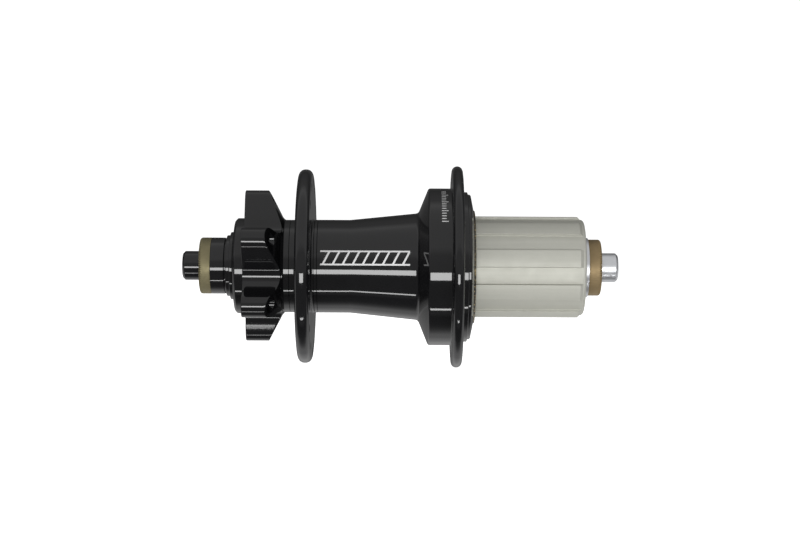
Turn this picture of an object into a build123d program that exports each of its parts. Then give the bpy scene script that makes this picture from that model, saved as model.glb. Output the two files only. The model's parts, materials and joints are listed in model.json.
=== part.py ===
from build123d import *
import os
from math import acos, atan2, cos, degrees, hypot, radians, sin

# Rear disc-brake bicycle hub with a six-pawl freehub, in millimetres.
# The hub axis is X and +X is the drive side. The origin is on the axis, midway
# between the two dropout faces. Angles about the axis start at -Y and grow towards +Z.

# Driving dimensions: axle and end caps
OVER_LOCKNUT = 135.0
AXLE_LENGTH = 146.8
STUB_R = 4.9
RING_SEAT_R = 5.1
SKEWER_R = 2.6
AXLE_R = 7.5
AXLE_BORE_R = 5.0
CAP_SLEEVE_R = 8.9
RING_R = 9.5
SERRATIONS = 90
SERRATION_DEPTH = 0.3

# Driving dimensions: disc brake mount
DISC_INSET = 15.3
DISC_BOLT_R = 22.0
DISC_TAP_R = 2.1
LOBES = 6
FIRST_LOBE = 23.0
LOBE_R = 25.6
LOBE_TIP_R = 4.1
FIRST_SCALLOP = 48.7
SCALLOP_R = 5.1
SPIGOT_R = 16.1

# Driving dimensions: shell
TUBE_R = 15.7
WAIST_R = 15.63
CAVITY_R = 13.2
HOUSING_R = 26.5
HOUSING_BORE_R = 23.0
LEFT_FLANGE_R = 32.7
RIGHT_FLANGE_R = 34.0
LEFT_SPOKE_CIRCLE_R = 28.5
RIGHT_SPOKE_CIRCLE_R = 30.0
SPOKE_HOLE_R = 1.3
SPOKES_A_SIDE = 16

# Driving dimensions: freehub and ratchet
CREST_R = 17.15
ROOT_R = 16.2
SPLINES = 9
FIRST_CREST = 10.0
PAWLS = 6
FIRST_PAWL = 10.0
PIVOT_R = 17.2
HEEL_R = 1.9
CARRIER_R = 19.4
TEETH = 48
TOOTH_TIP_R = 20.2
TOOTH_ROOT_R = 21.7
# A steep tooth face stands this far round from each pawl's pivot.
TOOTH_PHASE = 23.3

# Stations along the axis
DROPOUT_X = OVER_LOCKNUT / 2
END_X = AXLE_LENGTH / 2
DISC_X = -DROPOUT_X + DISC_INSET
SPIGOT_X = -55.6
LOBE_BACK_X = -44.4
NECK_X = -39.7
LEFT_FLANGE_X = (-34.3, -29.6)
CONE_X = -17.0
FLARE_X = 6.0
HOUSING_X = 9.4
RATCHET_X = (10.4, 19.4)
RIGHT_FLANGE_X = (17.2, 20.8)
COVER_X = 24.4
SPLINE_X = (24.9, 60.6)
FREEHUB_END_X = 61.7

# Ball bearings: left face, bore radius, outer radius, number of balls.
# Both sizes are 7 wide and run on 3.5 mm balls.
BEARING_WIDTH = 7.0
BALL_R = 1.75
BALL_GAP = 0.05
BEARINGS = {
    "left_shell_bearing": (-55.0, 7.5, 14.0, 11),
    "right_shell_bearing": (3.0, 8.5, 15.0, 12),
    "inner_freehub_bearing": (27.0, 7.5, 14.0, 11),
    "outer_freehub_bearing": (46.0, 7.5, 14.0, 11),
}
SMALL_BEARING_R = 14.0
LARGE_BEARING_R = 15.0
LARGE_BORE_R = 8.5

os.makedirs("parts", exist_ok=True)


def save(piece, name):
    """Label a finished piece and write it as its own STEP file."""
    piece.label = name
    export_step(piece, f"parts/{name}.step")


def across(x):
    """The plane square to the axis at x, whose angles start at -Y and grow towards +Z."""
    return Plane(origin=(x, 0, 0), x_dir=(0, -1, 0), z_dir=(-1, 0, 0))


def at_angle(radius, degrees):
    """A point at this radius and angle in a plane square to the axis."""
    return (radius * cos(radians(degrees)), radius * sin(radians(degrees)))


def turn(outline, mode=Mode.ADD):
    """Turn a closed outline of (x, radius) corners about the axis.

    A third number in a corner rounds it to that radius.
    """
    with BuildSketch(Plane.XY) as section:
        with BuildLine():
            Polyline(*[corner[:2] for corner in outline], close=True)
        make_face()
        for corner in outline:
            if len(corner) == 3:
                nearest = section.vertices().sort_by_distance((corner[0], corner[1], 0))[0]
                fillet(nearest, radius=corner[2])
    revolve(section.sketch, axis=Axis.X, mode=mode)


def sleeve(name, x_left, x_right, inner_r, outer_r, edge=0.15):
    """A plain turned sleeve with its four edges broken."""
    with BuildPart() as tube:
        turn([(x_left, inner_r), (x_left, outer_r), (x_right, outer_r), (x_right, inner_r)])
        chamfer(tube.edges().filter_by(GeomType.CIRCLE), length=edge)
    save(tube.part, name)


# Axle and what is fixed to it

with BuildPart() as axle:
    turn([
        (-58.4, AXLE_BORE_R),
        (-58.4, AXLE_R),
        (-48.0, AXLE_R),
        (-48.0, 9.4),
        (-45.5, 9.4, 0.5),
        (-43.5, 8.7, 0.5),
        (-1.5, 8.7, 0.5),
        (0.5, 10.2, 0.5),
        (3.0, 10.2),
        (3.0, LARGE_BORE_R),
        (10.0, LARGE_BORE_R),
        (10.0, AXLE_R),
        (57.0, AXLE_R),
        (57.0, AXLE_BORE_R),
    ])
save(axle.part, "axle")


def end_cap(name, side, ring_face, body_r, body_end, bearing_face, axle_end):
    """A push-in end cap: stub, ring seat, body, sleeve over the axle's end and plug inside."""
    chamfer_size = 0.8
    plug_end = axle_end - 8.0
    groove_x = axle_end - 4.0
    with BuildPart() as cap:
        turn([
            (side * END_X, SKEWER_R),
            (side * END_X, STUB_R - chamfer_size),
            (side * (END_X - chamfer_size), STUB_R),
            (side * DROPOUT_X, STUB_R),
            (side * DROPOUT_X, RING_SEAT_R),
            (side * ring_face, RING_SEAT_R),
            (side * ring_face, body_r),
            (side * body_end, body_r, 0.4),
            (side * body_end, CAP_SLEEVE_R),
            (side * bearing_face, CAP_SLEEVE_R),
            (side * bearing_face, AXLE_R),
            (side * axle_end, AXLE_R),
            (side * axle_end, AXLE_BORE_R),
            (side * plug_end, AXLE_BORE_R),
            (side * plug_end, SKEWER_R),
        ])
        turn([
            (side * (groove_x - 0.7), 3.7),
            (side * (groove_x - 0.7), AXLE_BORE_R + 0.2),
            (side * (groove_x + 0.7), AXLE_BORE_R + 0.2),
            (side * (groove_x + 0.7), 3.7),
        ], mode=Mode.SUBTRACT)
    save(cap.part, f"{name}_end_cap")

    with BuildPart() as o_ring:
        with BuildSketch(Plane.XY):
            with Locations((side * groove_x, 4.35)):
                Circle(0.65)
        revolve(axis=Axis.X)
    save(o_ring.part, f"{name}_cap_o_ring")


end_cap("left", -1, 63.6, 9.5, 58.9, 55.0, 58.4)
end_cap("right", 1, 63.2, 10.0, 60.0, 53.0, 57.0)


def serrated_ring(name, side, inner_face):
    """A dropout ring, flat round the stub and serrated towards its rim."""
    flat_r = 6.8
    half_width = 0.22
    with BuildPart() as ring:
        turn([
            (side * DROPOUT_X, RING_SEAT_R),
            (side * DROPOUT_X, RING_R, 0.5),
            (side * inner_face, RING_R, 0.3),
            (side * inner_face, RING_SEAT_R),
        ])
        spokes = [
            Plane.XY.rotated((360 * n / SERRATIONS, 0, 0)).offset(flat_r)
            for n in range(SERRATIONS)
        ]
        with BuildSketch(*spokes):
            with BuildLine():
                Polyline(
                    (side * (DROPOUT_X + 0.1), -half_width - 0.07),
                    (side * (DROPOUT_X + 0.1), half_width + 0.07),
                    (side * (DROPOUT_X - SERRATION_DEPTH), 0),
                    close=True,
                )
            make_face()
        extrude(amount=RING_R - flat_r + 0.5, mode=Mode.SUBTRACT)
    save(ring.part, f"{name}_serrated_ring")


serrated_ring("left", -1, 63.6)
serrated_ring("right", 1, 63.2)

# A stepped ring on the left cap's sleeve keeps dirt off the bearing behind it.
with BuildPart() as left_dust_ring:
    turn([
        (-58.5, CAP_SLEEVE_R),
        (-58.5, 10.3, 0.3),
        (-57.2, 10.3),
        (-57.2, 11.4, 0.3),
        (-56.0, 11.4, 0.2),
        (-56.0, CAP_SLEEVE_R),
    ])
save(left_dust_ring.part, "left_dust_ring")

sleeve("shell_to_freehub_spacer", 10.0, 27.0, AXLE_R, 9.6)
sleeve("freehub_inner_spacer", 34.0, 46.0, AXLE_R, 9.6)


# Ball bearings

def bearing(name, left, bore_r, outer_r, balls):
    """The five pieces of one sealed bearing: two races, balls, cage and seals."""
    right = left + BEARING_WIDTH
    middle = left + BEARING_WIDTH / 2
    pitch_r = (bore_r + outer_r) / 2
    shoulder = 0.9
    edge = 0.3

    def groove():
        """Cut the ball track round both races."""
        with BuildSketch(Plane.XY) as track:
            with Locations((middle, pitch_r)):
                Circle(BALL_R + BALL_GAP)
        revolve(track.sketch, axis=Axis.X, mode=Mode.SUBTRACT)

    with BuildPart() as outer_race:
        turn([
            (left, pitch_r + shoulder),
            (left, outer_r - edge),
            (left + edge, outer_r),
            (right - edge, outer_r),
            (right, outer_r - edge),
            (right, pitch_r + shoulder),
        ])
        groove()
    save(outer_race.part, f"{name}_outer_race")

    with BuildPart() as inner_race:
        turn([
            (left, bore_r + edge),
            (left, pitch_r - shoulder),
            (right, pitch_r - shoulder),
            (right, bore_r + edge),
            (right - edge, bore_r),
            (left + edge, bore_r),
        ])
        groove()
    save(inner_race.part, f"{name}_inner_race")

    cage_gap = 0.3
    half_width = 2.4
    with BuildPart() as cage:
        turn([
            (middle - half_width, pitch_r - shoulder + cage_gap),
            (middle - half_width, pitch_r + shoulder - cage_gap),
            (middle + half_width, pitch_r + shoulder - cage_gap),
            (middle + half_width, pitch_r - shoulder + cage_gap),
        ])
        for ball in range(balls):
            radial, around = at_angle(1, 360 * ball / balls)
            pocket = Plane(
                origin=(middle, 0, 0), x_dir=(1, 0, 0), z_dir=(0, -radial, around)
            )
            with BuildSketch(pocket):
                Circle(BALL_R + BALL_GAP)
            extrude(amount=outer_r, mode=Mode.SUBTRACT)
    save(cage.part, f"{name}_cage")

    with BuildPart() as ball_set:
        with Locations(across(middle)):
            with PolarLocations(pitch_r, balls):
                Sphere(BALL_R)
    save(ball_set.part, f"{name}_balls")

    seal_width = 0.5
    seal_inset = 0.15
    with BuildPart() as seals:
        for x_left in (left + seal_inset, right - seal_inset - seal_width):
            turn([
                (x_left, pitch_r - shoulder + 0.2),
                (x_left, pitch_r + shoulder),
                (x_left + seal_width, pitch_r + shoulder),
                (x_left + seal_width, pitch_r - shoulder + 0.2),
            ])
    save(seals.part, f"{name}_seals")


for bearing_name, sizes in BEARINGS.items():
    bearing(bearing_name, *sizes)


# Hub shell

def lobe_wall(tip_angle, scallop_angle):
    """Where the straight wall between a lobe's round tip and a scallop touches each of them."""
    tip_u, tip_v = at_angle(LOBE_R - LOBE_TIP_R, tip_angle)
    hollow_u, hollow_v = at_angle(SPIGOT_R + SCALLOP_R, scallop_angle)
    apart = hypot(hollow_u - tip_u, hollow_v - tip_v)
    toward = degrees(atan2(hollow_v - tip_v, hollow_u - tip_u))
    lean = degrees(acos((LOBE_TIP_R + SCALLOP_R) / apart))
    facing = toward + (lean if scallop_angle < tip_angle else -lean)
    out_u, out_v = at_angle(1, facing)
    return (
        (tip_u + LOBE_TIP_R * out_u, tip_v + LOBE_TIP_R * out_v),
        (hollow_u - SCALLOP_R * out_u, hollow_v - SCALLOP_R * out_v),
    )


def disc_mount_lobes():
    """Six round-tipped disc-bolt lobes with round scallops between them, backed off on a cone."""
    pitch = 360 / LOBES
    corners = []
    for number in range(LOBES):
        tip = FIRST_LOBE + pitch * number
        scallop = FIRST_SCALLOP + pitch * number
        tip_below, hollow_below = lobe_wall(tip, scallop - pitch)
        tip_above, hollow_above = lobe_wall(tip, scallop)
        corners += [hollow_below, tip_below, tip_above, hollow_above]
        corners.append(at_angle(SPIGOT_R, scallop))
    with BuildSketch(across(NECK_X + 2)) as star:
        Polygon(*corners, align=None)
        with PolarLocations(LOBE_R - LOBE_TIP_R, LOBES, start_angle=FIRST_LOBE):
            Circle(LOBE_TIP_R)
        with PolarLocations(SPIGOT_R + SCALLOP_R, LOBES, start_angle=FIRST_SCALLOP):
            Circle(SCALLOP_R, mode=Mode.SUBTRACT)
    extrude(star.sketch, amount=NECK_X + 2 - DISC_X)
    neck_r = SPIGOT_R + 0.4
    cone_slope = (LOBE_R - neck_r) / (NECK_X - LOBE_BACK_X)
    turn([
        (DISC_X, 0),
        (DISC_X, LOBE_R - 0.4),
        (DISC_X + 0.6, LOBE_R + 0.2),
        (LOBE_BACK_X - 0.2 / cone_slope, LOBE_R + 0.2),
        (NECK_X, neck_r, 1.0),
        (NECK_X + 2, 15.0),
        (NECK_X + 2, 0),
    ], mode=Mode.INTERSECT)


def shell_body():
    """The turned outside of the shell, from the disc spigot to the drive-side flange."""
    left_face, right_face = LEFT_FLANGE_X
    drive_face, end_face = RIGHT_FLANGE_X
    turn([
        (SPIGOT_X, SMALL_BEARING_R - 0.5),
        (SPIGOT_X, SPIGOT_R - 0.8),
        (SPIGOT_X + 0.8, SPIGOT_R),
        (NECK_X + 0.3, SPIGOT_R, 0.8),
        (-38.9, WAIST_R, 0.8),
        (left_face, WAIST_R, 1.2),
        (left_face, LEFT_FLANGE_R, 1.9),
        (right_face, LEFT_FLANGE_R, 1.9),
        (right_face, TUBE_R, 0.8),
        (CONE_X, TUBE_R),
        (FLARE_X, 18.08, 1.5),
        (HOUSING_X, HOUSING_R, 1.0),
        (drive_face, HOUSING_R, 0.6),
        (drive_face, RIGHT_FLANGE_R, 1.7),
        (end_face, RIGHT_FLANGE_R, 1.7),
        (end_face, SMALL_BEARING_R - 0.5),
    ])


def shell_bore():
    """Bearing seats, the hollow between them and the ratchet housing."""
    turn([
        (SPIGOT_X - 1, 0),
        (SPIGOT_X - 1, SMALL_BEARING_R + 0.4),
        (SPIGOT_X, SMALL_BEARING_R + 0.4),
        (SPIGOT_X + 0.4, SMALL_BEARING_R),
        (-48.0, SMALL_BEARING_R),
        (-48.0, 12.6),
        (-46.0, 12.6),
        (-45.4, CAVITY_R),
        (0.4, CAVITY_R),
        (1.0, 13.4),
        (3.0, 13.4),
        (3.0, LARGE_BEARING_R),
        (RATCHET_X[0], LARGE_BEARING_R),
        (RATCHET_X[0], HOUSING_BORE_R),
        (RIGHT_FLANGE_X[1] + 1, HOUSING_BORE_R),
        (RIGHT_FLANGE_X[1] + 1, 0),
    ], mode=Mode.SUBTRACT)


def ring_grooves():
    """Fine turned lines beside the left flange and on the waist."""
    depth = 0.15
    for x_left, radius in ((-28.9, TUBE_R), (-27.8, TUBE_R), (-37.0, WAIST_R)):
        turn([
            (x_left, radius - depth),
            (x_left, radius + 1),
            (x_left + 0.2, radius + 1),
            (x_left + 0.2, radius - depth),
        ], mode=Mode.SUBTRACT)


def round_of_holes(face_x, circle_r, count, start, hole_r, depth):
    """Drill a circle of holes from face_x towards the left."""
    with BuildSketch(across(face_x)) as holes:
        with PolarLocations(circle_r, count, start_angle=start):
            Circle(hole_r)
    extrude(holes.sketch, amount=depth, mode=Mode.SUBTRACT)


with BuildPart() as hub_shell:
    disc_mount_lobes()
    shell_body()
    shell_bore()
    ring_grooves()
    round_of_holes(NECK_X, DISC_BOLT_R, LOBES, FIRST_LOBE, DISC_TAP_R, NECK_X - DISC_X + 1)
    round_of_holes(
        LEFT_FLANGE_X[1] + 1, LEFT_SPOKE_CIRCLE_R, SPOKES_A_SIDE, 0, SPOKE_HOLE_R, 6
    )
    round_of_holes(
        RIGHT_FLANGE_X[1] + 1, RIGHT_SPOKE_CIRCLE_R, SPOKES_A_SIDE, 11.25, SPOKE_HOLE_R, 6
    )
save(hub_shell.part, "hub_shell")

# A threaded cover ring closes the ratchet housing and holds the seal.
with BuildPart() as drive_side_cover:
    turn([
        (RATCHET_X[1], 18.6),
        (RATCHET_X[1], HOUSING_BORE_R),
        (RIGHT_FLANGE_X[1], HOUSING_BORE_R),
        (RIGHT_FLANGE_X[1], 25.3),
        (22.5, 25.3, 0.3),
        (22.5, 24.5),
        (23.5, 24.5, 0.6),
        (COVER_X, 20.0, 0.6),
        (COVER_X, 19.3),
        (21.6, 19.3),
        (21.6, 18.6),
    ])
save(drive_side_cover.part, "drive_side_cover")

with BuildPart() as drive_side_seal:
    turn([
        (21.6, 18.4),
        (21.6, 19.3),
        (COVER_X, 19.3),
        (25.0, 18.9, 0.2),
        (25.0, 17.5),
        (24.6, 17.5),
        (23.4, 18.4),
    ])
save(drive_side_seal.part, "drive_side_seal")


with BuildPart() as ratchet_ring:
    saw_outline = []
    for tooth in range(TEETH):
        steep_face = FIRST_PAWL + TOOTH_PHASE + 360 * tooth / TEETH
        saw_outline.append(at_angle(TOOTH_ROOT_R, steep_face))
        saw_outline.append(at_angle(TOOTH_TIP_R, steep_face))
    with BuildSketch(across(RATCHET_X[1])):
        Circle(HOUSING_BORE_R)
        Polygon(*saw_outline, align=None, mode=Mode.SUBTRACT)
    extrude(amount=RATCHET_X[1] - RATCHET_X[0])
save(ratchet_ring.part, "ratchet_ring")


# Freehub

CARRIER_X = (10.9, 19.1)
POCKET_X = (11.7, 18.5)
PAWL_X = (11.9, 18.3)


def pivot_plane(x, number):
    """The plane at x on one pawl's pivot: first axis outwards, second the way it drives."""
    angle = FIRST_PAWL + 360 * number / PAWLS
    radial, around = at_angle(1, angle)
    return Plane(
        origin=(x, -PIVOT_R * radial, PIVOT_R * around),
        x_dir=(0, -radial, around),
        z_dir=(-1, 0, 0),
    )


def freehub_outside():
    """The turned outside: pawl carrier, seal collar, spline blank and end lip."""
    crest_bevel = CREST_R - ROOT_R
    lip_r = ROOT_R - 0.05
    turn([
        (CARRIER_X[0], 10.6),
        (CARRIER_X[0], CARRIER_R, 0.3),
        (CARRIER_X[1], CARRIER_R, 0.3),
        (CARRIER_X[1], CREST_R),
        (SPLINE_X[1] - crest_bevel, CREST_R),
        (SPLINE_X[1], lip_r),
        (FREEHUB_END_X, lip_r, 1.0),
        (FREEHUB_END_X, 10.6),
    ])


def spline_grooves():
    """Mill the cassette spline; one groove is wider, so that a sprocket fits one way only."""
    groove_width = (CREST_R + ROOT_R) * sin(radians(10))
    pitch = 360 / SPLINES
    first_groove = FIRST_CREST + pitch / 2
    index_groove = first_groove + 5 * pitch
    with BuildSketch(across(SPLINE_X[1])) as grooves:
        with PolarLocations(CREST_R, SPLINES, start_angle=first_groove):
            Rectangle(3, groove_width)
        with PolarLocations(CREST_R, 1, start_angle=index_groove + 4):
            Rectangle(3, groove_width)
        Circle(ROOT_R, mode=Mode.SUBTRACT)
    extrude(grooves.sketch, amount=SPLINE_X[1] - SPLINE_X[0], mode=Mode.SUBTRACT)


def freehub_bore():
    """Clearance over the axle, two bearing seats, circlip groove and threaded mouth."""
    turn([
        (0, 0),
        (0, 10.9),
        (26.0, 10.9),
        (26.0, 12.6),
        (27.0, 12.6),
        (27.0, SMALL_BEARING_R),
        (53.0, SMALL_BEARING_R),
        (53.0, 14.8),
        (54.1, 14.8),
        (54.1, 14.6),
        (FREEHUB_END_X - 0.3, 14.6),
        (FREEHUB_END_X + 0.3, 15.2),
        (FREEHUB_END_X + 0.3, 0),
    ], mode=Mode.SUBTRACT)


def pawl_pocket(number):
    """A socket for the pawl's heel, open outwards along the length of the pawl."""
    with BuildSketch(pivot_plane(POCKET_X[1], number)) as pocket:
        Circle(HEEL_R + 0.08)
        Polygon(
            (-1.8, 0.3), (-2.3, 3.0), (-2.3, 8.8), (3.5, 8.8), (3.5, -0.6), (1.2, -0.6),
            align=None,
        )
    extrude(pocket.sketch, amount=POCKET_X[1] - POCKET_X[0], mode=Mode.SUBTRACT)


with BuildPart() as freehub_body:
    freehub_outside()
    spline_grooves()
    freehub_bore()
    for number in range(PAWLS):
        pawl_pocket(number)
save(freehub_body.part, "freehub_body")

for number in range(PAWLS):
    with BuildPart() as pawl:
        with BuildSketch(pivot_plane(PAWL_X[1], number)):
            Circle(HEEL_R)
            Polygon(
                (1.75, 0.74), (0.9, 5.2), (1.17, 7.9), (-0.4, 8.0), (-1.7, 2.0), (-1.8, 0.6),
                align=None,
            )
        extrude(amount=PAWL_X[1] - PAWL_X[0])
    save(pawl.part, f"pawl_{number + 1}")

# One bent leaf under each pawl lifts it towards the teeth.
with BuildPart() as pawl_springs:
    leaf_x = (12.6, 17.6)
    with BuildSketch(*[pivot_plane(leaf_x[1], number) for number in range(PAWLS)]):
        with BuildLine():
            Polyline((-2.19, 8.0), (-2.19, 3.6), (-0.8, 7.2))
        trace(line_width=0.2)
    extrude(amount=leaf_x[1] - leaf_x[0])
save(pawl_springs.part, "pawl_springs")

sleeve("freehub_outer_spacer", 34.0, 46.0, 12.5, SMALL_BEARING_R)

with BuildPart() as freehub_circlip:
    with BuildSketch(across(54.0)):
        Circle(14.7)
        Circle(12.9, mode=Mode.SUBTRACT)
        with Locations((-14, 0)):
            Rectangle(6, 5, mode=Mode.SUBTRACT)
    extrude(amount=1.0)
save(freehub_circlip.part, "freehub_circlip")
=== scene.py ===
import json
import math

import bmesh
import bpy
from mathutils import Matrix, Vector


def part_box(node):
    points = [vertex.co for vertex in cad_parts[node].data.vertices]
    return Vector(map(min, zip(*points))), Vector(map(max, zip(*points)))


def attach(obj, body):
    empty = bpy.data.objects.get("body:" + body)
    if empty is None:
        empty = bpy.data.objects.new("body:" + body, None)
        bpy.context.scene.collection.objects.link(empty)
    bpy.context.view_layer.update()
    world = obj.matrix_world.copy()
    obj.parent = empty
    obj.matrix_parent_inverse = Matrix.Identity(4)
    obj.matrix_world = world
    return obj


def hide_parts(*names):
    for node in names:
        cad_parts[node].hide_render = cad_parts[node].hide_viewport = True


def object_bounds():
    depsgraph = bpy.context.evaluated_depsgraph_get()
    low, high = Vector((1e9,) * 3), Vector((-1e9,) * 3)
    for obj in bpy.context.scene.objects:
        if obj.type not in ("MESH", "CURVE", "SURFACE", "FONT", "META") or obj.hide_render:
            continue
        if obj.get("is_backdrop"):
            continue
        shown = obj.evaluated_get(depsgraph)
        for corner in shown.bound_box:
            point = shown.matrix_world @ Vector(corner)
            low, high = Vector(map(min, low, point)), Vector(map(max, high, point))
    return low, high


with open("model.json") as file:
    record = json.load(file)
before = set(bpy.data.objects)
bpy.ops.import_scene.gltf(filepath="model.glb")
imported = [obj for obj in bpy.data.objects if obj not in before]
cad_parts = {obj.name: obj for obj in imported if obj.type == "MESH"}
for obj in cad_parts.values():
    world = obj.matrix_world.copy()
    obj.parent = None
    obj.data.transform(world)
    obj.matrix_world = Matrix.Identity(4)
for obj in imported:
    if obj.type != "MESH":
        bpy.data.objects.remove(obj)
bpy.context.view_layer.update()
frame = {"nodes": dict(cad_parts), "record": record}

# The hub axis is X, and +X is the drive side. Sizes here are in millimetres and are turned
# into metres by MM. Angles about the axis start at -Y and grow towards +Z.
MM = 0.001


# Stations and radii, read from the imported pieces

def span(node):
    """The lowest and highest x of a CAD node, in millimetres."""
    low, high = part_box(node)
    return low.x / MM, high.x / MM


def reach(node):
    """The outer radius of a turned CAD node, in millimetres."""
    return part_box(node)[1].z / MM


SHELL_LEFT, SHELL_RIGHT = span("hub_shell")
COVER_LEFT, COVER_RIGHT = span("drive_side_cover")
SEAL_LEFT, SEAL_RIGHT = span("drive_side_seal")
FREEHUB_LEFT, FREEHUB_RIGHT = span("freehub_body")
RIGHT_END = span("right_end_cap")[1]
LEFT_RING_INNER = span("left_serrated_ring")[1]
RIGHT_RING_INNER, RIGHT_RING_OUTER = span("right_serrated_ring")
RATCHET_LEFT = span("ratchet_ring")[0]
LEFT_SEAT = span("left_shell_bearing_outer_race")
RIGHT_SEAT = span("right_shell_bearing_outer_race")
INNER_SEAT = span("inner_freehub_bearing_outer_race")
OUTER_SEAT = span("outer_freehub_bearing_outer_race")
AXLE_LEFT, AXLE_RIGHT = span("axle")

MOUNTS = {mount["name"]: mount for mount in frame["record"]["mounts"]}
DISC_X = MOUNTS["disc_bolts"]["pos_m"][0] / MM
DISC_BOLT_R = MOUNTS["disc_bolts"]["dims"]["pcd_mm"] / 2
DISC_HOLE_R = MOUNTS["disc_bolts"]["dims"]["hole_r_mm"]
LOBES = MOUNTS["disc_bolts"]["dims"]["count"]
SPIGOT_R = MOUNTS["disc_spigot"]["dims"]["r_mm"]
LEFT_SPOKES = MOUNTS["left_spoke_holes"]
RIGHT_SPOKES = MOUNTS["right_spoke_holes"]
STUB_R = MOUNTS["axle_end_left"]["dims"]["r_mm"]
SKEWER_R = MOUNTS["skewer_bore"]["dims"]["r_mm"]
DROPOUT_X = RIGHT_RING_OUTER

SMALL_BEARING_R = reach("left_shell_bearing_outer_race")
LARGE_BEARING_R = reach("right_shell_bearing_outer_race")
HOUSING_BORE_R = reach("ratchet_ring")
RIM_R = reach("hub_shell")
COVER_R = reach("drive_side_cover")
CARRIER_R = reach("freehub_body")
RING_R = reach("left_serrated_ring")

# Stations, radii and angles that no packed box states

LEFT_FLANGE = (-34.3, -29.6)
DRIVE_FLANGE = (SHELL_RIGHT - 3.6, SHELL_RIGHT)
RING_SEAT_R = 5.1
FIRST_LOBE = 23.0
LOBE_R = 25.6
LOBE_TIP_R = 4.1
FIRST_SCALLOP = 48.7
SCALLOP_CENTRE_R = 21.2
SCALLOP_R = 5.04
LOBE_BACK_X = -44.4
NECK_X = -39.7
NECK_FOOT_R = SPIGOT_R + 0.4
WAIST_LEFT = -38.9
LEFT_RIM_R = 32.7
HOUSING_R = 26.5
TUBE_R = 15.7
WAIST_R = 15.63
TAPER_LEFT = -17.0
TAPER_RIGHT = 6.0
TAPER_RIGHT_R = 18.08
HOUSING_LEFT = 9.4
COVER_STEP_X = 22.5
COVER_STEP_R = 24.5
SEAL_SEAT_R = 19.3
SEAL_LIP_R = 17.5
CREST_R = 17.15
ROOT_R = 16.2
SPLINES = 9
SPLINE_LEFT = 24.9
SPLINE_RIGHT = 60.6
INDEX_CREST = 6
SERRATIONS = 90
SLEEVE_R = 8.9
PAWLS = 6
FIRST_PAWL = 10.0
PIVOT_R = 17.2


# Mesh helpers

def at(x, radius, degrees):
    """A point by station, radius and angle about the axis."""
    turn = math.radians(degrees)
    return Vector((x, -radius * math.cos(turn), radius * math.sin(turn))) * MM


def rounded(corners, closed=True, step=13.0):
    """Points along an outline of (x, r) corners; a third number rounds a corner to that radius."""
    points = []
    count = len(corners)
    for number, corner in enumerate(corners):
        here = Vector(corner[:2])
        at_end = not closed and number in (0, count - 1)
        if len(corner) == 2 or at_end:
            points.append(here)
            continue
        radius = corner[2]
        back = (Vector(corners[number - 1][:2]) - here).normalized()
        ahead = (Vector(corners[(number + 1) % count][:2]) - here).normalized()
        half = back.angle(ahead) / 2
        centre = here + (back + ahead).normalized() * radius / math.sin(half)
        first = here + back * radius / math.tan(half) - centre
        sweep = math.pi - 2 * half
        if back.cross(ahead) > 0:
            sweep = -sweep
        steps = max(2, round(math.degrees(abs(sweep)) / step))
        for part in range(steps + 1):
            points.append(centre + Matrix.Rotation(sweep * part / steps, 2) @ first)
    return points


def skin(name, columns):
    """A closed surface: columns are closed loops of points, and they close round the axis."""
    count = len(columns[0])
    faces = []
    for i in range(len(columns)):
        j = (i + 1) % len(columns)
        for k in range(count):
            m = (k + 1) % count
            faces.append((i * count + k, i * count + m, j * count + m, j * count + k))
    mesh = bpy.data.meshes.new(name)
    mesh.from_pydata([point for column in columns for point in column], [], faces)
    return solid(name, mesh)


def solid(name, mesh):
    """Link a mesh as an object, with merged points, outward faces and smooth shading."""
    shape = bmesh.new()
    shape.from_mesh(mesh)
    bmesh.ops.remove_doubles(shape, verts=shape.verts, dist=0.001 * MM)
    bmesh.ops.recalc_face_normals(shape, faces=shape.faces)
    for face in shape.faces:
        face.smooth = True
    shape.to_mesh(mesh)
    shape.free()
    piece = bpy.data.objects.new(name, mesh)
    bpy.context.scene.collection.objects.link(piece)
    return piece


def lathe(name, corners, segments=192):
    """Turn a closed outline of (x, r) or (x, r, corner radius) about the axis."""
    outline = rounded(corners)
    columns = [
        [at(x, r, 360 * number / segments) for x, r in outline] for number in range(segments)
    ]
    return skin(name, columns)


def prism(name, outline, x_left, x_right):
    """A bar of this (out, around) outline in millimetres, running along the axis."""
    count = len(outline)
    points = [Vector((x, -u, v)) * MM for x in (x_left, x_right) for u, v in outline]
    faces = [tuple(range(count)), tuple(range(2 * count - 1, count - 1, -1))]
    for k in range(count):
        m = (k + 1) % count
        faces.append((k, m, count + m, count + k))
    mesh = bpy.data.meshes.new(name)
    mesh.from_pydata(points, [], faces)
    return solid(name, mesh)


def polar(radius, degrees):
    """The (out, around) coordinates of a point at this radius and angle."""
    turn = math.radians(degrees)
    return Vector((radius * math.cos(turn), radius * math.sin(turn)))


def join(name, pieces):
    """Join several objects into one mesh object."""
    shape = bmesh.new()
    for piece in pieces:
        shape.from_mesh(piece.data)
        bpy.data.objects.remove(piece)
    mesh = bpy.data.meshes.new(name)
    shape.to_mesh(mesh)
    shape.free()
    return solid(name, mesh)


def cut(piece, cutter):
    """Cut one piece by another, and drop the cutter."""
    boolean = piece.modifiers.new("cut", "BOOLEAN")
    boolean.operation = "DIFFERENCE"
    boolean.solver = "EXACT"
    boolean.object = cutter
    bpy.context.view_layer.update()
    cut_mesh = bpy.data.meshes.new_from_object(
        piece.evaluated_get(bpy.context.evaluated_depsgraph_get())
    )
    piece.modifiers.clear()
    piece.data = cut_mesh
    bpy.data.objects.remove(cutter)


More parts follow.
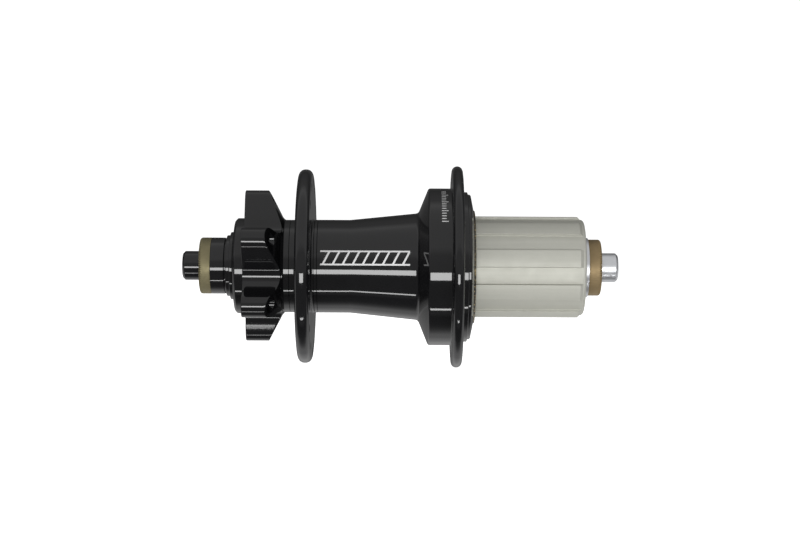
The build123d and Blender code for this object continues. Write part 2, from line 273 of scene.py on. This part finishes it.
def place(piece, body, slot, material, *nodes):
    """Dress a finished piece, attach it to its body and hide the CAD nodes it stands for; the slot
    argument is not used.
    """
    piece.data.materials.clear()
    piece.data.materials.append(material)
    piece.data.set_sharp_from_angle(angle=math.radians(38))
    weighted = piece.modifiers.new("even shading", "WEIGHTED_NORMAL")
    weighted.keep_sharp = True
    weighted.weight = 60
    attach(piece, body)
    if nodes:
        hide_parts(*nodes)
    return piece


def hole_cutter(x_left, x_right, circle_r, angle, radius, flare, segments=28):
    """A drill with a flared mouth at both ends, for a hole along the axis."""
    rows = [
        (x_left - 0.5, radius + flare + 0.5),
        (x_left + flare, radius),
        (x_right - flare, radius),
        (x_right + 0.5, radius + flare + 0.5),
    ]
    centre = polar(circle_r, angle)
    points = []
    for x, size in rows:
        for number in range(segments):
            u, v = centre + polar(size, 360 * number / segments)
            points.append(Vector((x, -u, v)) * MM)
    faces = [tuple(range(segments)), tuple(range(len(points) - 1, len(points) - segments - 1, -1))]
    for row in range(len(rows) - 1):
        for k in range(segments):
            m = (k + 1) % segments
            low, high = row * segments, (row + 1) * segments
            faces.append((low + k, low + m, high + m, high + k))
    mesh = bpy.data.meshes.new("drill")
    mesh.from_pydata(points, [], faces)
    return solid("drill", mesh)


# Materials

def shader(name, **values):
    """A new material with these values on its Principled shader."""
    material = bpy.data.materials.new(name)
    material.use_nodes = True
    principled = material.node_tree.nodes["Principled BSDF"]
    for socket, value in values.items():
        principled.inputs[socket.replace("_", " ")].default_value = value
    return material, material.node_tree, principled


def noise(tree, scale, stretch=(1, 1, 1), detail=3.0):
    """Noise over the object's own coordinates, stretched along its axes."""
    place_node = tree.nodes.new("ShaderNodeTexCoord")
    mapping = tree.nodes.new("ShaderNodeMapping")
    mapping.inputs["Scale"].default_value = stretch
    texture = tree.nodes.new("ShaderNodeTexNoise")
    texture.inputs["Scale"].default_value = scale
    texture.inputs["Detail"].default_value = detail
    tree.links.new(place_node.outputs["Object"], mapping.inputs["Vector"])
    tree.links.new(mapping.outputs["Vector"], texture.inputs["Vector"])
    return texture.outputs["Fac"]


def between(tree, value, low, high, from_low=0.3, from_high=0.7):
    """Spread a 0 to 1 value over low to high."""
    spread = tree.nodes.new("ShaderNodeMapRange")
    spread.inputs["From Min"].default_value = from_low
    spread.inputs["From Max"].default_value = from_high
    spread.inputs["To Min"].default_value = low
    spread.inputs["To Max"].default_value = high
    tree.links.new(value, spread.inputs["Value"])
    return spread.outputs["Result"]


def blended(tree, value, first, second):
    """A colour between two, by a 0 to 1 value."""
    mix = tree.nodes.new("ShaderNodeMix")
    mix.data_type = "RGBA"
    mix.inputs["A"].default_value = (*first, 1)
    mix.inputs["B"].default_value = (*second, 1)
    tree.links.new(value, mix.inputs["Factor"])
    return mix.outputs["Result"]


def bump(tree, height, depth, strength, normal=None):
    """Bump from a height value, over another bump if there is one."""
    node = tree.nodes.new("ShaderNodeBump")
    node.inputs["Distance"].default_value = depth
    node.inputs["Strength"].default_value = strength
    tree.links.new(height, node.inputs["Height"])
    if normal is not None:
        tree.links.new(normal, node.inputs["Normal"])
    return node.outputs["Normal"]


ALONG = (1, 0.02, 0.02)
ROUND = (0.02, 1, 1)


def turned_metal(name, dark, light, roughness, lathe_marks, **values):
    """Metal turned on a lathe: colour drifts a little and fine rings run round the axis."""
    material, tree, principled = shader(name, **values)
    cloud = noise(tree, 180.0, detail=4.0)
    tree.links.new(blended(tree, cloud, dark, light), principled.inputs["Base Color"])
    rings = noise(tree, 2600.0, stretch=ALONG, detail=2.0)
    worn = noise(tree, 900.0, detail=5.0)
    tree.links.new(between(tree, worn, *roughness), principled.inputs["Roughness"])
    marks = bump(tree, rings, 0.00002, lathe_marks)
    pits = bump(tree, worn, 0.00001, lathe_marks * 0.6, marks)
    tree.links.new(pits, principled.inputs["Normal"])
    return material


def milled_metal(name, dark, light, roughness, **values):
    """Anodised metal with long streaks along the axis and faint turning rings over them."""
    material, tree, principled = shader(name, **values)
    streaks = noise(tree, 700.0, stretch=ROUND, detail=4.0)
    tree.links.new(blended(tree, streaks, dark, light), principled.inputs["Base Color"])
    cloud = noise(tree, 240.0, detail=5.0)
    tree.links.new(between(tree, cloud, *roughness), principled.inputs["Roughness"])
    rings = noise(tree, 2200.0, stretch=ALONG, detail=2.0)
    normal = bump(tree, rings, 0.00002, 0.25)
    tree.links.new(bump(tree, streaks, 0.00003, 0.2, normal), principled.inputs["Normal"])
    return material


def moulded(name, dark, light, roughness, grain, **values):
    """Moulded rubber or plastic with a fine grain."""
    material, tree, principled = shader(name, **values)
    cloud = noise(tree, 500.0, detail=4.0)
    tree.links.new(blended(tree, cloud, dark, light), principled.inputs["Base Color"])
    fine = noise(tree, 4000.0, detail=3.0)
    tree.links.new(between(tree, fine, *roughness), principled.inputs["Roughness"])
    tree.links.new(bump(tree, fine, 0.00003, grain), principled.inputs["Normal"])
    return material


def speckled_rubber(name):
    """Black seal rubber with fine brassy dust caught on it."""
    material, tree, principled = shader(name, Specular_IOR_Level=0.4)
    specks = noise(tree, 2600.0, detail=2.0)
    dust = between(tree, specks, 0.0, 1.0, 0.56, 0.66)
    colour = blended(tree, dust, (0.012, 0.011, 0.010), (0.42, 0.33, 0.16))
    tree.links.new(colour, principled.inputs["Base Color"])
    tree.links.new(between(tree, specks, 0.35, 0.6), principled.inputs["Roughness"])
    tree.links.new(bump(tree, specks, 0.00003, 0.3), principled.inputs["Normal"])
    return material


BLACK = turned_metal(
    "black_anodised", (0.0025, 0.0025, 0.0028), (0.0045, 0.0045, 0.005), (0.035, 0.06), 0.12,
    IOR=1.5,
)
SILVER = milled_metal(
    "silver_anodised", (0.43, 0.43, 0.385), (0.51, 0.51, 0.46), (0.56, 0.66), Metallic=0.7
)
BRIGHT = turned_metal(
    "bright_turned_aluminium", (0.62, 0.63, 0.65), (0.72, 0.73, 0.75), (0.34, 0.42), 0.25,
    Metallic=1.0,
)
OLIVE = turned_metal(
    "olive_anodised", (0.16, 0.145, 0.08), (0.22, 0.19, 0.11), (0.48, 0.58), 0.2,
    Metallic=0.75,
)
BRONZE = turned_metal(
    "bronze_anodised", (0.24, 0.175, 0.09), (0.29, 0.215, 0.115), (0.48, 0.58), 0.2,
    Metallic=0.75,
)
STEEL = turned_metal(
    "bearing_steel", (0.50, 0.51, 0.52), (0.60, 0.61, 0.62), (0.12, 0.2), 0.15, Metallic=1.0
)
TOOL_STEEL = turned_metal(
    "tool_steel", (0.28, 0.28, 0.28), (0.36, 0.36, 0.37), (0.25, 0.4), 0.3, Metallic=1.0
)
SPRING_STEEL = turned_metal(
    "spring_steel", (0.16, 0.17, 0.20), (0.24, 0.25, 0.29), (0.2, 0.3), 0.15, Metallic=1.0
)
RUBBER = moulded("black_rubber", (0.010, 0.010, 0.010), (0.02, 0.02, 0.02), (0.45, 0.6), 0.3)
SEAL_RUBBER = moulded("seal_rubber", (0.015, 0.015, 0.016), (0.03, 0.03, 0.03), (0.4, 0.55), 0.25)
CAGE = moulded("cage_nylon", (0.12, 0.085, 0.05), (0.17, 0.125, 0.08), (0.4, 0.5), 0.25)
ETCHED = moulded("etched_metal", (0.48, 0.48, 0.48), (0.60, 0.60, 0.60), (0.5, 0.6), 0.4)
SPECKLED = speckled_rubber("speckled_seal_rubber")

NODE_MATERIALS = {
    "black_anodised": BLACK,
    "silver_anodised": BRIGHT,
    "olive_anodised": OLIVE,
    "bronze_anodised": BRONZE,
    "bearing_steel": STEEL,
    "tool_steel": TOOL_STEEL,
    "spring_steel": SPRING_STEEL,
    "black_rubber": RUBBER,
    "seal_rubber": SEAL_RUBBER,
    "cage_plastic": CAGE,
}


def dress_cad_nodes():
    """Give every carried-over CAD node the material of its slot."""
    for subpart in frame["record"]["subparts"]:
        node = frame["nodes"][subpart["node"]]
        for slot in node.material_slots:
            slot.material = NODE_MATERIALS[subpart["material_slot"]]


# Hub shell

def lobe_wall(scallop_angle):
    """The angle faced by the straight wall from a lobe tip at zero degrees to this scallop."""
    apart = polar(SCALLOP_CENTRE_R, scallop_angle) - polar(LOBE_R - LOBE_TIP_R, 0)
    lean = math.degrees(math.acos((LOBE_TIP_R + SCALLOP_R) / apart.length))
    toward = math.degrees(math.atan2(apart.y, apart.x))
    return toward + (lean if scallop_angle < 0 else -lean)


def arc(centre, radius, first, last, step):
    """Points on an arc from one angle to another, both ends included."""
    parts = max(2, round(abs(last - first) / step))
    return [centre + polar(radius, first + (last - first) * n / parts) for n in range(parts + 1)]


def lobe_outline():
    """The disc mount along the axis, as (point, outward direction): round lobes and scallops."""
    pitch = 360 / LOBES
    scallop_offset = FIRST_SCALLOP - FIRST_LOBE
    spots = []
    for lobe in range(LOBES):
        tip_angle = FIRST_LOBE + pitch * lobe
        below = tip_angle + lobe_wall(scallop_offset - pitch)
        above = tip_angle + lobe_wall(scallop_offset)
        beyond = below + pitch
        tip = polar(LOBE_R - LOBE_TIP_R, tip_angle)
        hollow = polar(SCALLOP_CENTRE_R, tip_angle + scallop_offset)
        for point in arc(tip, LOBE_TIP_R, below, above, 5.0):
            spots.append((point, (point - tip).normalized()))
        scallop = arc(hollow, SCALLOP_R, above + 180, beyond + 180, 5.0)
        wall_start, facing = spots[-1]
        for part in (0.25, 0.5, 0.75):
            spots.append((wall_start.lerp(scallop[0], part), facing))
        for point in scallop:
            spots.append((point, (hollow - point).normalized()))
        next_tip = polar(LOBE_R - LOBE_TIP_R, tip_angle + pitch) + polar(LOBE_TIP_R, beyond)
        for part in (0.25, 0.5, 0.75):
            spots.append((scallop[-1].lerp(next_tip, part), polar(1, beyond)))
    return spots


def cone_profile():
    """The cone behind the lobes and its rounded foot on the neck, as (x, r) from the top."""
    drop = LOBE_R - NECK_FOOT_R
    slope = (NECK_X - LOBE_BACK_X) / drop
    corners = [
        (LOBE_BACK_X + share * slope * drop, LOBE_R - share * drop) for share in (0, 0.3, 0.6)
    ]
    corners += [
        (NECK_X, NECK_FOOT_R, 1.4),
        (WAIST_LEFT, WAIST_R, 0.8),
        (WAIST_LEFT + 0.9, WAIST_R),
    ]
    return rounded(corners, closed=False), slope


def lobe_stretch(spot, side, profile, slope):
    """One column of the disc mount, from the disc face over the lobe to the cone behind it."""
    radius = spot.length
    edge = min(0.3, 0.5 * (radius - SPIGOT_R))
    outward = spot / radius
    cone_x = LOBE_BACK_X + (LOBE_R - radius) * slope
    column = []
    for degrees in (0, 22.5, 45, 67.5, 90):
        turn = math.radians(degrees)
        x = DISC_X + edge * (1 - math.cos(turn))
        column.append((x, spot - side * edge * (1 - math.sin(turn))))
    column.append((cone_x - 0.6, spot))
    column.append((cone_x - 0.12, spot))
    column.append((cone_x + 0.05, spot - outward * 0.07))
    for x, r in profile:
        column.append((max(x, cone_x + 0.2), outward * min(r, radius - 0.2 / slope)))
    return column


def groove(x, radius, depth):
    """Three corners of a fine V groove turned into a surface of this radius."""
    return [(x - 0.1, radius), (x, radius - depth), (x + 0.1, radius)]


def flange(sides, foot_r, foot_round, rim_r, rim_round):
    """The two sides of a flange with a rounded rim, from its left foot up to its right edge."""
    left, right = sides
    return [
        (left, foot_r, foot_round),
        (left, rim_r, rim_round),
        (right, rim_r, rim_round),
    ]


def shell_outside():
    """The shell's outside behind the lobes: waist, flanges, tube and ratchet housing."""
    corners = groove(-36.95, WAIST_R, 0.12)
    corners += flange(LEFT_FLANGE, WAIST_R, 1.2, LEFT_RIM_R, 2.1)
    corners.append((LEFT_FLANGE[1], TUBE_R, 0.6))
    corners += groove(-28.8, TUBE_R, 0.15)
    corners += groove(-27.7, TUBE_R, 0.15)
    corners += [
        (TAPER_LEFT, TUBE_R, 0.3),
        (TAPER_RIGHT, TAPER_RIGHT_R, 1.5),
        (HOUSING_LEFT, HOUSING_R, 0.9),
    ]
    corners += flange(DRIVE_FLANGE, HOUSING_R, 0.6, RIM_R, 1.75)
    return corners


def shell_inside():
    """The shell's bore from the ratchet housing to the disc spigot, and round to the disc face."""
    core_r, narrow_core_r, shoulder_r = 13.4, 13.2, 12.6
    return [
        (SHELL_RIGHT, HOUSING_BORE_R, 0.15),
        (RATCHET_LEFT, HOUSING_BORE_R),
        (RATCHET_LEFT, LARGE_BEARING_R),
        (RIGHT_SEAT[0], LARGE_BEARING_R),
        (RIGHT_SEAT[0], core_r),
        (1.0, core_r),
        (0.4, narrow_core_r),
        (-45.4, narrow_core_r),
        (-46.0, shoulder_r),
        (LEFT_SEAT[1], shoulder_r),
        (LEFT_SEAT[1], SMALL_BEARING_R),
        (SHELL_LEFT + 0.4, SMALL_BEARING_R),
        (SHELL_LEFT, SMALL_BEARING_R + 0.4, 0.1),
        (SHELL_LEFT, SPIGOT_R - 0.8, 0.3),
        (SHELL_LEFT + 0.8, SPIGOT_R, 0.3),
        (DISC_X, SPIGOT_R),
    ]


def flange_drills(mount, sides, first_angle):
    """The drills for one flange's spoke holes."""
    dims = mount["dims"]
    pitch = 360 / dims["count"]
    return [
        hole_cutter(*sides, dims["pcd_mm"] / 2, first_angle + pitch * number, dims["hole_r_mm"], 0.3)
        for number in range(dims["count"])
    ]


def disc_drills():
    """The drills for the disc bolts, one through each lobe."""
    pitch = 360 / LOBES
    return [
        hole_cutter(DISC_X, -39.0, DISC_BOLT_R, FIRST_LOBE + pitch * number, DISC_HOLE_R, 0.4)
        for number in range(LOBES)
    ]


def hub_shell():
    """The whole shell: lobes, waist, flanges, tube and ratchet housing, drilled all over."""
    turned = rounded(shell_outside() + shell_inside(), closed=False)
    profile, slope = cone_profile()
    columns = []
    for spot, side in lobe_outline():
        angle = math.degrees(math.atan2(spot.y, spot.x))
        column = [Vector((x, -p.x, p.y)) * MM for x, p in lobe_stretch(spot, side, profile, slope)]
        column += [at(x, r, angle) for x, r in turned]
        columns.append(column)
    shell = skin("hub_shell_turned", columns)
    drills = flange_drills(LEFT_SPOKES, LEFT_FLANGE, 0.0)
    drills += flange_drills(RIGHT_SPOKES, DRIVE_FLANGE, 11.25)
    drills += disc_drills()
    cut(shell, join("drills", drills))
    return place(shell, "hub_shell", "black_anodised", BLACK, "hub_shell")


def drive_side_cover():
    """The threaded cover ring that closes the ratchet housing."""
    bore_r, ledge_x = 18.6, 21.6
    cover = lathe("drive_cover_ring", [
        (COVER_LEFT, bore_r),
        (COVER_LEFT, HOUSING_BORE_R),
        (SHELL_RIGHT, HOUSING_BORE_R),
        (SHELL_RIGHT, COVER_R, 0.15),
        (COVER_STEP_X, COVER_R, 0.3),
        (COVER_STEP_X, COVER_STEP_R, 0.1),
        (COVER_STEP_X + 1.0, COVER_STEP_R, 0.55),
        (COVER_RIGHT, SEAL_SEAT_R + 0.7, 0.5),
        (COVER_RIGHT, SEAL_SEAT_R, 0.1),
        (ledge_x, SEAL_SEAT_R),
        (ledge_x, bore_r),
    ])
    return place(cover, "hub_shell", "black_anodised", BLACK, "drive_side_cover")


def drive_side_seal():
    """The seal's lip, standing proud of the cover round the freehub."""
    throat_r = 18.4
    seal = lathe("drive_seal_lip", [
        (SEAL_LEFT, throat_r),
        (SEAL_LEFT, SEAL_SEAT_R),
        (COVER_RIGHT, SEAL_SEAT_R, 0.1),
        (SEAL_RIGHT, SEAL_SEAT_R - 0.4, 0.25),
        (SEAL_RIGHT, SEAL_LIP_R, 0.1),
        (SEAL_RIGHT - 0.4, SEAL_LIP_R),
        (23.4, throat_r),
    ])
    return place(seal, "hub_shell", "black_rubber", SPECKLED, "drive_side_seal")


# Freehub

def spline_outline():
    """The cassette spline seen along the axis: nine crests, one narrower than the rest."""
    pitch = 360 / SPLINES
    crest = pitch / 2
    corners = []
    for number in range(SPLINES):
        start = pitch * number + (4 if number == INDEX_CREST else 0)
        end = pitch * number + crest
        corners.append((*polar(ROOT_R, start - 0.15), 0.2))
        corners.append((*polar(CREST_R, start + 0.15), 0.15))
        for step in range(2, round(end - start) - 1, 2):
            corners.append(tuple(polar(CREST_R, start + step)))
        corners.append((*polar(CREST_R, end - 0.15), 0.15))
        corners.append((*polar(ROOT_R, end + 0.15), 0.2))
        groove = crest + (4 if (number + 1) % SPLINES == INDEX_CREST else 0)
        for step in range(3, round(groove) - 2, 2):
            corners.append(tuple(polar(ROOT_R, end + step)))
    return rounded(corners, step=30.0)


def thread(left, right, root_r, crest_r, pitch=1.0):
    """Corners of an internal thread's section, from its right end to its left end."""
    corners = []
    for number in range(round((right - left) / pitch)):
        corners.append((right - pitch * number, root_r))
        corners.append((right - pitch * (number + 0.5), crest_r))
    return corners + [(left, root_r)]


def freehub_outline():
    """The turned outline of the freehub, from its end lip through the bore to the seal collar."""
    end_r = ROOT_R - 0.05
    mouth_r = 14.6
    circlip_x, circlip_seat_r = 54.1, 14.8
    core_r, neck_r, neck_x = 12.6, 10.9, 26.0
    collar_x, collar_r = 19.1, CREST_R + 0.05
    corners = [
        (SPLINE_RIGHT, end_r),
        (FREEHUB_RIGHT, end_r, 1.0),
        (FREEHUB_RIGHT, 14.9, 0.05),
    ]
    corners += thread(54.6, 61.4, mouth_r, 15.0)
    corners += [
        (circlip_x, mouth_r),
        (circlip_x, circlip_seat_r),
        (OUTER_SEAT[1], circlip_seat_r),
        (OUTER_SEAT[1], SMALL_BEARING_R),
        (INNER_SEAT[0], SMALL_BEARING_R),
        (INNER_SEAT[0], core_r),
        (neck_x, core_r),
        (neck_x, neck_r),
        (FREEHUB_LEFT, neck_r),
        (FREEHUB_LEFT, CARRIER_R, 0.3),
        (collar_x, CARRIER_R, 0.3),
        (collar_x, collar_r),
        (SPLINE_LEFT, collar_r),
    ]
    return rounded(corners, closed=False)


def pawl_pocket(number):
    """The hollow for one pawl, cut into the carrier: a round heel and a flat floor."""
    angle = FIRST_PAWL + 360 * number / PAWLS
    heel = [tuple(polar(1.98, degrees)) for degrees in range(-20, -181, -20)]
    floor_points = [(-1.95, 0.3), (-2.3, 3.0), (-2.3, 8.8), (3.5, 8.8), (3.5, -0.6)]
    outline = []
    for out, around in heel + floor_points:
        outline.append(polar(PIVOT_R + out, angle) + polar(around, angle + 90))
    return prism("pocket", outline, 11.7, 18.5)


def freehub_body():
    """The splined sleeve with its threaded mouth and pawl carrier."""
    outline = spline_outline()
    turned = freehub_outline()
    bevel_foot = ROOT_R - 0.05
    columns = []
    for spot in outline:
        angle = math.degrees(math.atan2(spot.y, spot.x))
        bevel_x = SPLINE_RIGHT - (spot.length - bevel_foot)
        column = [at(x, r, angle) for x, r in turned]
        column.append(Vector((SPLINE_LEFT, -spot.x, spot.y)) * MM)
        column.append(Vector((bevel_x, -spot.x, spot.y)) * MM)
        columns.append(column)
    body = skin("freehub_sleeve", columns)
    cut(body, join("pockets", [pawl_pocket(number) for number in range(PAWLS)]))
    return place(body, "freehub", "silver_anodised", SILVER, "freehub_body")


# Axle ends

def end_cap(name, node, side, ring_face, body_r, body_end, bearing_face, axle_end, slot, material):
    """One push-in end cap: stub, body, sleeve over the axle and plug inside it."""
    axle_r, bore_r, ring_groove_r = 7.5, 5.0, 3.7
    ring_x, ring_half = axle_end - 4.0, 0.7
    plug_end = axle_end - 8.0
    tip = RIGHT_END
    corners = [
        (tip, SKEWER_R + 0.3, 0.1),
        (tip, STUB_R - 0.8, 0.25),
        (tip - 0.8, STUB_R, 0.25),
        (DROPOUT_X, STUB_R),
        (DROPOUT_X, RING_SEAT_R),
        (ring_face, RING_SEAT_R),
        (ring_face, body_r, 0.1),
        (body_end, body_r, 0.4),
        (body_end, SLEEVE_R),
        (bearing_face, SLEEVE_R, 0.1),
        (bearing_face, axle_r),
        (axle_end, axle_r),
        (axle_end, bore_r),
        (ring_x + ring_half, bore_r),
        (ring_x + ring_half, ring_groove_r),
        (ring_x - ring_half, ring_groove_r),
        (ring_x - ring_half, bore_r),
        (plug_end, bore_r),
        (plug_end, SKEWER_R),
        (tip - 0.3, SKEWER_R),
    ]
    cap = lathe(name, [(side * corner[0], *corner[1:]) for corner in corners], segments=144)
    return place(cap, "axle", slot, material, node)


def serrated_ring(name, node, side, inner_face, slot, material):
    """A dropout ring whose outer face has fine radial serrations towards the rim."""
    outer, depth, edge = RIGHT_RING_OUTER, 0.45, 0.8
    tooth_shape = ((0.0, 0.0), (0.14, 0.5), (0.28, 1.0), (0.64, 1.0), (0.82, 0.5))
    columns = []
    for tooth in range(SERRATIONS):
        for share, height in tooth_shape:
            angle = 360 * (tooth + share) / SERRATIONS
            face = outer - depth * (1 - height)
            column = [(outer, 6.7), (face, 7.1), (face, RING_R - edge)]
            for degrees in (22.5, 45, 67.5):
                turn = math.radians(degrees)
                column.append((
                    face - edge * (1 - math.cos(turn)), RING_R - edge * (1 - math.sin(turn))
                ))
            column += [
                (face - edge, RING_R),
                (inner_face + 0.25, RING_R),
                (inner_face + 0.08, RING_R - 0.08),
                (inner_face, RING_R - 0.25),
                (inner_face, RING_SEAT_R),
                (outer, RING_SEAT_R),
            ]
            columns.append([at(side * x, r, angle) for x, r in column])
    ring = skin(name, columns)
    return place(ring, "axle", slot, material, node)


def dust_ring():
    """The stepped ring between the left cap and the disc spigot."""
    left, step, right = -58.5, -57.2, -56.0
    small_r, large_r = 10.3, 11.4
    ring = lathe("dust_ring_steps", [
        (left, SLEEVE_R),
        (left, small_r, 0.3),
        (step, small_r, 0.1),
        (step, large_r, 0.3),
        (right, large_r, 0.2),
        (right, SLEEVE_R),
    ])
    return place(ring, "axle", "black_anodised", BLACK, "left_dust_ring")


# Etched marks: plain bars and ticks

def tube_radius(x):
    """The radius of the shell's tube at a station between the flanges."""
    slope = (TAPER_RIGHT_R - TUBE_R) / (TAPER_RIGHT - TAPER_LEFT)
    return TUBE_R + max(0.0, x - TAPER_LEFT) * slope


def patch(corners, radius_at, across=6, around=3):
    """A thin four-cornered tile laid on a turned surface; corners are (x, arc length)."""
    proud = 0.012
    a, b, c, d = [Vector(corner) for corner in corners]
    points = []
    for i in range(across + 1):
        for j in range(around + 1):
            spot = a.lerp(b, i / across).lerp(d.lerp(c, i / across), j / around)
            radius = radius_at(spot.x)
            points.append(at(spot.x, radius + proud, math.degrees(spot.y / radius)))
    row = around + 1
    faces = [
        (i * row + j, (i + 1) * row + j, (i + 1) * row + j + 1, i * row + j + 1)
        for i in range(across) for j in range(around)
    ]
    mesh = bpy.data.meshes.new("tile")
    mesh.from_pydata(points, [], faces)
    tile = bpy.data.objects.new("tile", mesh)
    bpy.context.scene.collection.objects.link(tile)
    return tile


def tube_lattice():
    """A lattice of slanted bars between two lines, on the tube."""
    left, right, low, high, line = -26.5, 3.2, 0.3, 5.3, 0.55
    bars, bar_wide, slant = 9, 0.7, 2.0
    tiles = []
    for bottom in (high - line, low):
        top = bottom + line
        tiles.append(patch(
            [(left, bottom), (right, bottom), (right, top), (left, top)], tube_radius, across=24
        ))
    foot, head = low + line, high - line
    for number in range(bars):
        x = left + 0.6 + (right - left - 3.2) * number / (bars - 1)
        end = x + bar_wide
        tiles.append(patch(
            [(x, foot), (end, foot), (end + slant, head), (x + slant, head)],
            tube_radius, across=2, around=6,
        ))
    return place(join("etched_lattice", tiles), "hub_shell", "silver_anodised", ETCHED)


def housing_ticks():
    """A row of ticks round the ratchet housing, every fourth one longer."""
    left, first, spacing, tick_wide = 13.6, 15.6, 1.15, 0.4
    ticks = []
    for number in range(16):
        start = first + spacing * number
        end = start + tick_wide
        right = left + (1.5 if number % 4 else 2.2)
        ticks.append(patch(
            [(left, start), (right, start), (right, end), (left, end)], lambda x: HOUSING_R
        ))
    return place(join("etched_ticks", ticks), "hub_shell", "silver_anodised", ETCHED)


# Studio

def strip_light(name, elevation, tall, wide, radiance):
    """A soft strip a metre in front of the hub, at this elevation above the level."""
    distance = 1.0
    turn = math.radians(elevation)
    light = bpy.data.lights.new(name, "AREA")
    light.shape = "RECTANGLE"
    light.size = wide
    light.size_y = tall
    light.energy = radiance * math.pi * wide * tall
    lamp = bpy.data.objects.new(name, light)
    lamp.location = Vector((0.0, -math.cos(turn), math.sin(turn))) * distance
    lamp.rotation_euler = (-lamp.location).to_track_quat("-Z", "Y").to_euler()
    lamp.visible_camera = False
    bpy.context.scene.collection.objects.link(lamp)


# How bright the room is at each elevation, from behind and below, past the front, to behind
# and above again. Elevation 0 is level with the hub on its -Y side.
ROOM = {
    -180: 0.10, -168: 0.30, -150: 0.75, -118: 0.80, -106: 0.32, -98: 0.12, -78: 0.08, -72: 0.22,
    -60: 0.16, -28: 0.16, -4: 0.40, 16: 0.45, 26: 0.72, 88: 0.70, 100: 0.78, 112: 0.34,
    132: 0.16, 146: 0.08, 156: 0.08, 180: 0.10,
}


def elevation_share(tree):
    """The elevation of a direction round the hub's axis, spread from -180..180 degrees to 0..1."""
    nodes, links = tree.nodes, tree.links
    place_node = nodes.new("ShaderNodeTexCoord")
    parts = nodes.new("ShaderNodeSeparateXYZ")
    links.new(place_node.outputs["Generated"], parts.inputs["Vector"])
    toward = nodes.new("ShaderNodeMath")
    toward.operation = "MULTIPLY"
    toward.inputs[1].default_value = -1.0
    links.new(parts.outputs["Y"], toward.inputs[0])
    height = nodes.new("ShaderNodeMath")
    height.operation = "ARCTAN2"
    links.new(parts.outputs["Z"], height.inputs[0])
    links.new(toward.outputs[0], height.inputs[1])
    return between(tree, height.outputs[0], 0.0, 1.0, -math.pi, math.pi)


def room_ramp(tree):
    """A colour ramp that holds the room's brightness at each elevation."""
    ramp = tree.nodes.new("ShaderNodeValToRGB")
    tree.links.new(elevation_share(tree), ramp.inputs["Fac"])
    elements = ramp.color_ramp.elements
    elements[0].position = 0.0
    elements[1].position = 1.0
    for degrees, brightness in ROOM.items():
        if degrees == -180:
            element = elements[0]
        elif degrees == 180:
            element = elements[len(elements) - 1]
        else:
            element = elements.new((degrees + 180) / 360)
        element.color = (brightness, brightness, brightness, 1)
    return ramp.outputs["Color"]


def studio_world():
    """White for the camera, and for light a soft room that changes with height."""
    world = bpy.data.worlds.new("studio")
    world.use_nodes = True
    bpy.context.scene.world = world
    tree = world.node_tree
    nodes, links = tree.nodes, tree.links
    room = nodes["Background"]
    links.new(room_ramp(tree), room.inputs["Color"])
    white = nodes.new("ShaderNodeBackground")
    white.inputs["Color"].default_value = (1, 1, 1, 1)
    white.inputs["Strength"].default_value = 1.1
    ray = nodes.new("ShaderNodeLightPath")
    chosen = nodes.new("ShaderNodeMixShader")
    links.new(ray.outputs["Is Camera Ray"], chosen.inputs["Fac"])
    links.new(room.outputs["Background"], chosen.inputs[1])
    links.new(white.outputs["Background"], chosen.inputs[2])
    links.new(chosen.outputs["Shader"], nodes["World Output"].inputs["Surface"])


def floor():
    """A plain pale floor just under the drive flange, which the hub stands on."""
    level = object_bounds()[0][2] - 0.00005
    half = 6.0
    mesh = bpy.data.meshes.new("floor")
    mesh.from_pydata(
        [(-half, -half, level), (half, -half, level), (half, half, level), (-half, half, level)],
        [], [(0, 1, 2, 3)],
    )
    plane = bpy.data.objects.new("floor", mesh)
    bpy.context.scene.collection.objects.link(plane)
    material, tree, principled = shader(
        "pale_floor", Roughness=0.8, Emission_Color=(1, 1, 1, 1), Emission_Strength=1.0
    )
    paper = noise(tree, 40.0, detail=3.0)
    tree.links.new(
        blended(tree, paper, (0.80, 0.80, 0.80), (0.84, 0.84, 0.84)),
        principled.inputs["Base Color"],
    )
    mesh.materials.append(material)
    plane.visible_glossy = False
    plane.visible_shadow = False
    plane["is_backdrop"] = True


def camera():
    """The photograph's view: level and square to the axis, rolled a third of a degree."""
    data = bpy.data.cameras.new("camera")
    data.lens = 83.6
    data.sensor_width = 36.0
    data.clip_start = 0.01
    viewer = bpy.data.objects.new("camera", data)
    tilt = Matrix.Rotation(math.radians(-0.32), 4, "Y")
    level = Matrix.Rotation(math.radians(90), 4, "X")
    viewer.matrix_world = Matrix.Translation((-0.0001, -0.629, 0.00003)) @ tilt @ level
    bpy.context.scene.collection.objects.link(viewer)
    bpy.context.scene.camera = viewer


dress_cad_nodes()
hub_shell()
drive_side_cover()
drive_side_seal()
freehub_body()
end_cap("left_cap_turned", "left_end_cap", -1, -LEFT_RING_INNER, 9.5, 58.9, -LEFT_SEAT[0],
        -AXLE_LEFT, "black_anodised", BLACK)
end_cap("right_cap_turned", "right_end_cap", 1, RIGHT_RING_INNER, 10.0, 60.0, OUTER_SEAT[1],
        AXLE_RIGHT, "silver_anodised", BRIGHT)
serrated_ring("left_ring_serrated", "left_serrated_ring", -1, -LEFT_RING_INNER,
              "olive_anodised", OLIVE)
serrated_ring("right_ring_serrated", "right_serrated_ring", 1, RIGHT_RING_INNER,
              "bronze_anodised", BRONZE)
dust_ring()
tube_lattice()
housing_ticks()

studio_world()
floor()
strip_light("front_strip", -14, 0.19, 0.75, 11.5)
strip_light("low_strip", -64, 0.05, 0.5, 11.0)
camera()
bpy.context.scene.view_settings.view_transform = "Standard"
